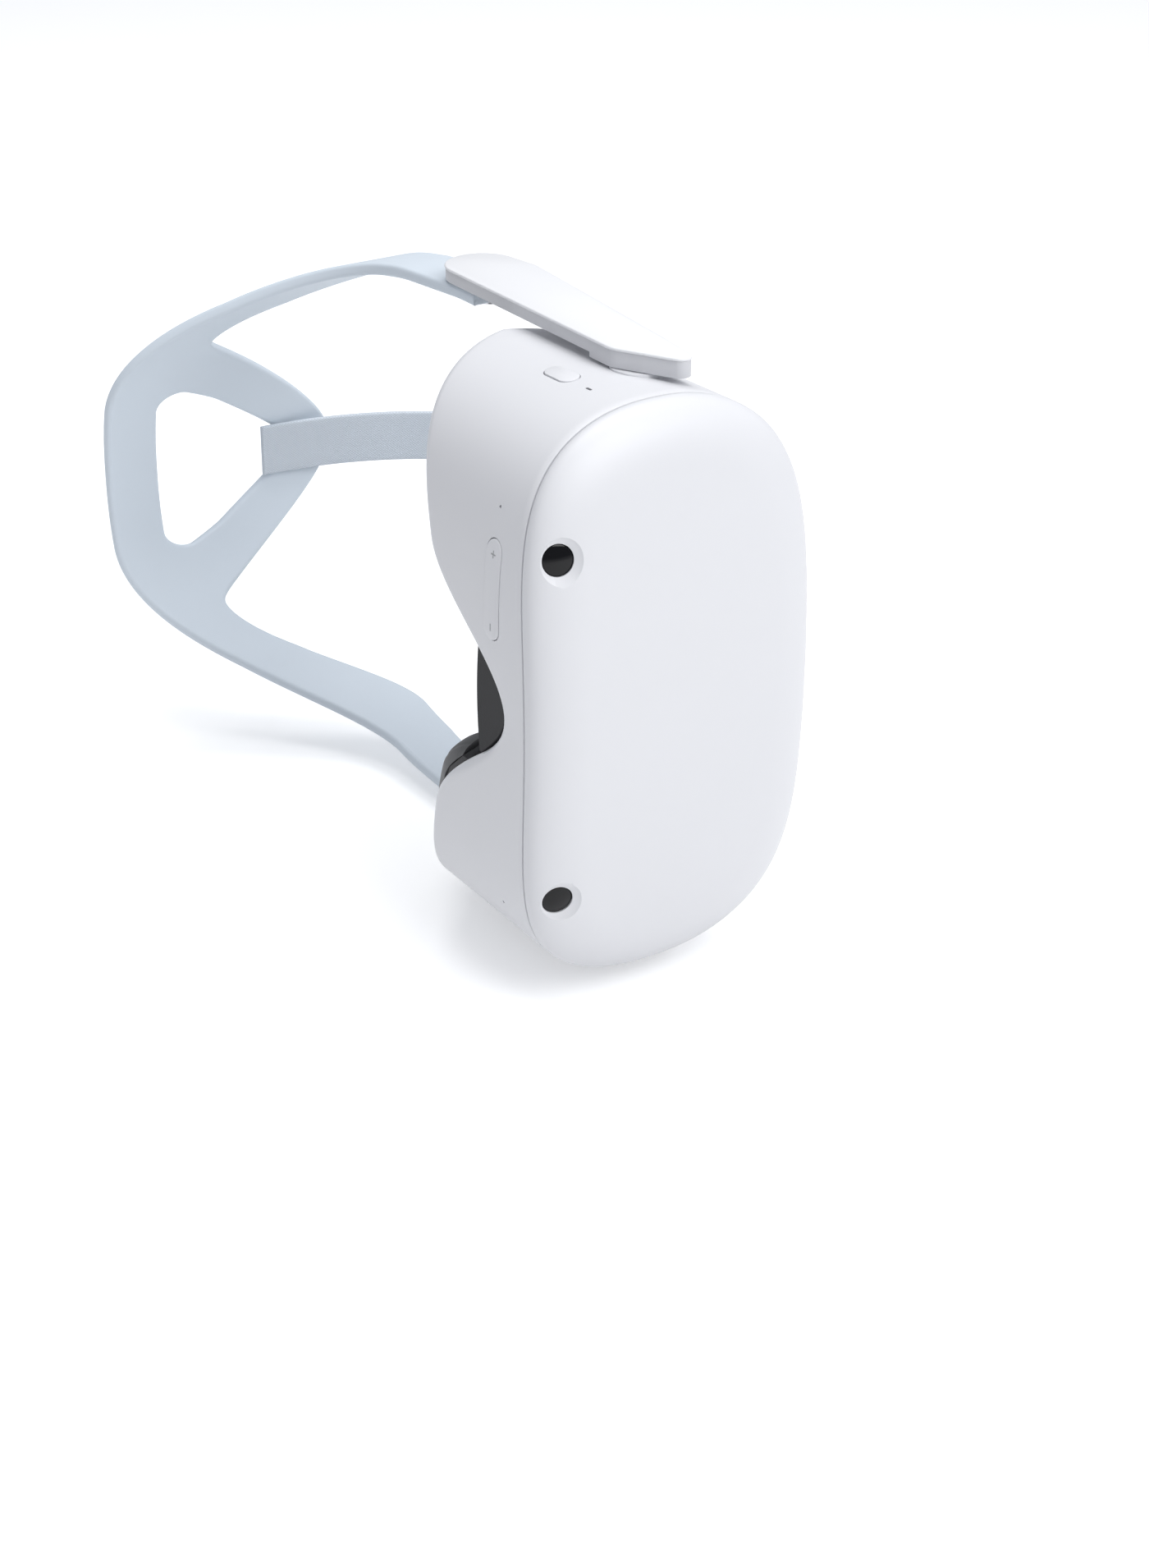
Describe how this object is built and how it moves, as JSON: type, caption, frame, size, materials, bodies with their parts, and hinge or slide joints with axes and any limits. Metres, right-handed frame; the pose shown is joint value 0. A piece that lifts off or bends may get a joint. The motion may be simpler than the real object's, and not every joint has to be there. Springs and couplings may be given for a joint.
{
  "type": "vr headset",
  "caption": "Stand-alone VR headset with a rounded camera-tracked visor, swinging side arms, a moulded head band and a crown strap.",
  "frame": {"origin": "where the hinge axis of the two arms meets the flat outer face of the left arm, on which the headset rests in the pose of the picture", "axes": "+X the wearer's up, +Y to the back of the wearer's head, +Z the wearer's right; the arms' hinge axis is the line X = 0, Y = 0"},
  "size_m": [0.1563, 0.2628, 0.1915],
  "materials": {
    "shell": "satin",
    "arm": "satin",
    "arm_cover": "satin",
    "band": "satin",
    "strap": "soft ribbon",
    "grip": "looped pile",
    "foam": "foam covered in knit",
    "face_frame": "fine grain",
    "flap": "matt",
    "cover": "fine grain",
    "window": "gloss black",
    "seal": "matt",
    "camera": "matt",
    "chassis": "glass-filled, matt",
    "board": "solder mask",
    "sink": "satin",
    "battery": "wrapped",
    "fan": "matt",
    "display": "gloss black",
    "steel": "satin",
    "gear": "acetal",
    "barrel": "matt",
    "lens": "clear",
    "light": "translucent",
    "socket": "plated",
    "jack": "matt",
    "mic": "matt",
    "anchor": "satin",
    "speaker": "matt"
  },
  "bodies": {
    "visor": {"front_plate": "shell", "shell_upper": "shell", "shell_lower": "shell", "inner_frame": "chassis", "lens_cover": "cover", "face_frame": "face_frame", "face_foam": "foam", "nose_flap": "flap", "camera_lower_right": "camera", "camera_lower_left": "camera", "camera_upper_right": "camera", "camera_upper_left": "camera", "camera_seals": "seal", "camera_windows": "window", "main_board": "board", "heat_sink": "sink", "battery": "battery", "fan_housing": "fan", "display_panel": "display", "lens_rails": "steel", "volume_switches": "board", "power_switch": "board", "status_light": "light", "usb_c_socket": "socket", "headphone_socket": "jack", "microphones": "mic", "proximity_sensor": "display", "frame_screws": "steel", "strap_anchor": "anchor", "hinge_base_right": "shell", "hinge_base_left": "shell", "pivot_pin_right": "steel", "pivot_pin_left": "steel"},
    "arm_right": {"arm_right": "arm", "arm_cover_right": "arm_cover", "speaker_right": "speaker"},
    "arm_left": {"arm_left": "arm", "arm_cover_left": "arm_cover", "speaker_left": "speaker"},
    "head_band": {"head_band": "band", "strap_studs": "steel", "grip_pad": "grip", "crown_strap": "strap"},
    "lens_right": {"lens_barrel_right": "barrel", "lens_right": "lens"},
    "lens_left": {"lens_barrel_left": "barrel", "lens_left": "lens"},
    "focus_pinion": {"focus_pinion": "gear"},
    "volume_rocker": {"volume_rocker": "shell"},
    "power_button": {"power_button": "shell"},
    "fan_rotor": {"fan_rotor": "fan"}
  },
  "joints": [
    {"name": "arm_right_hinge", "type": "hinge", "parent": "visor", "child": "arm_right", "pos_m": [0, 0, 0.1865], "axis": [0, 0, 1], "range_deg": [-15, 30], "deforming": ["crown_strap"]},
    {"name": "arm_left_hinge", "type": "hinge", "parent": "visor", "child": "arm_left", "pos_m": [0, 0, 0.005], "axis": [0, 0, 1], "range_deg": [-15, 30]},
    {"name": "band_slide", "type": "slide", "parent": "arm_right", "child": "head_band", "axis": [0, 1, 0], "range_m": [-0.005, 0.01], "deforming": ["crown_strap"]},
    {"name": "lens_right_slide", "type": "slide", "parent": "visor", "child": "lens_right", "axis": [0, 0, 1], "range_m": [-0.0025, 0.0025]},
    {"name": "lens_left_slide", "type": "slide", "parent": "visor", "child": "lens_left", "axis": [0, 0, 1], "range_m": [-0.0025, 0.0025]},
    {"name": "focus_pinion_turn", "type": "hinge", "parent": "visor", "child": "focus_pinion", "pos_m": [0.0213, -0.006, 0.09575], "axis": [0, 1, 0], "range_deg": [-30, 30]},
    {"name": "volume_rocker_tilt", "type": "hinge", "parent": "visor", "child": "volume_rocker", "pos_m": [-0.0597, -0.0156, 0.13475], "axis": [0, 1, 0], "range_deg": [-1.2, 1.2], "stiffness_Nm_per_rad": 1},
    {"name": "power_button_press", "type": "slide", "parent": "visor", "child": "power_button", "axis": [0, 0, 1], "range_m": [-0.0005, 0], "stiffness_N_per_m": 3000},
    {"name": "fan_spin", "type": "hinge", "parent": "visor", "child": "fan_rotor", "pos_m": [-0.0132, -0.029, 0.09575], "axis": [0, 1, 0], "continuous": true}
  ],
  "couplings": [
    {"joint": "arm_left_hinge", "follows": "arm_right_hinge", "ratio": 1},
    {"joint": "lens_left_slide", "follows": "lens_right_slide", "ratio": -1},
    {"joint": "focus_pinion_turn", "follows": "lens_right_slide", "rad_per_m": -208.33}
  ]
}
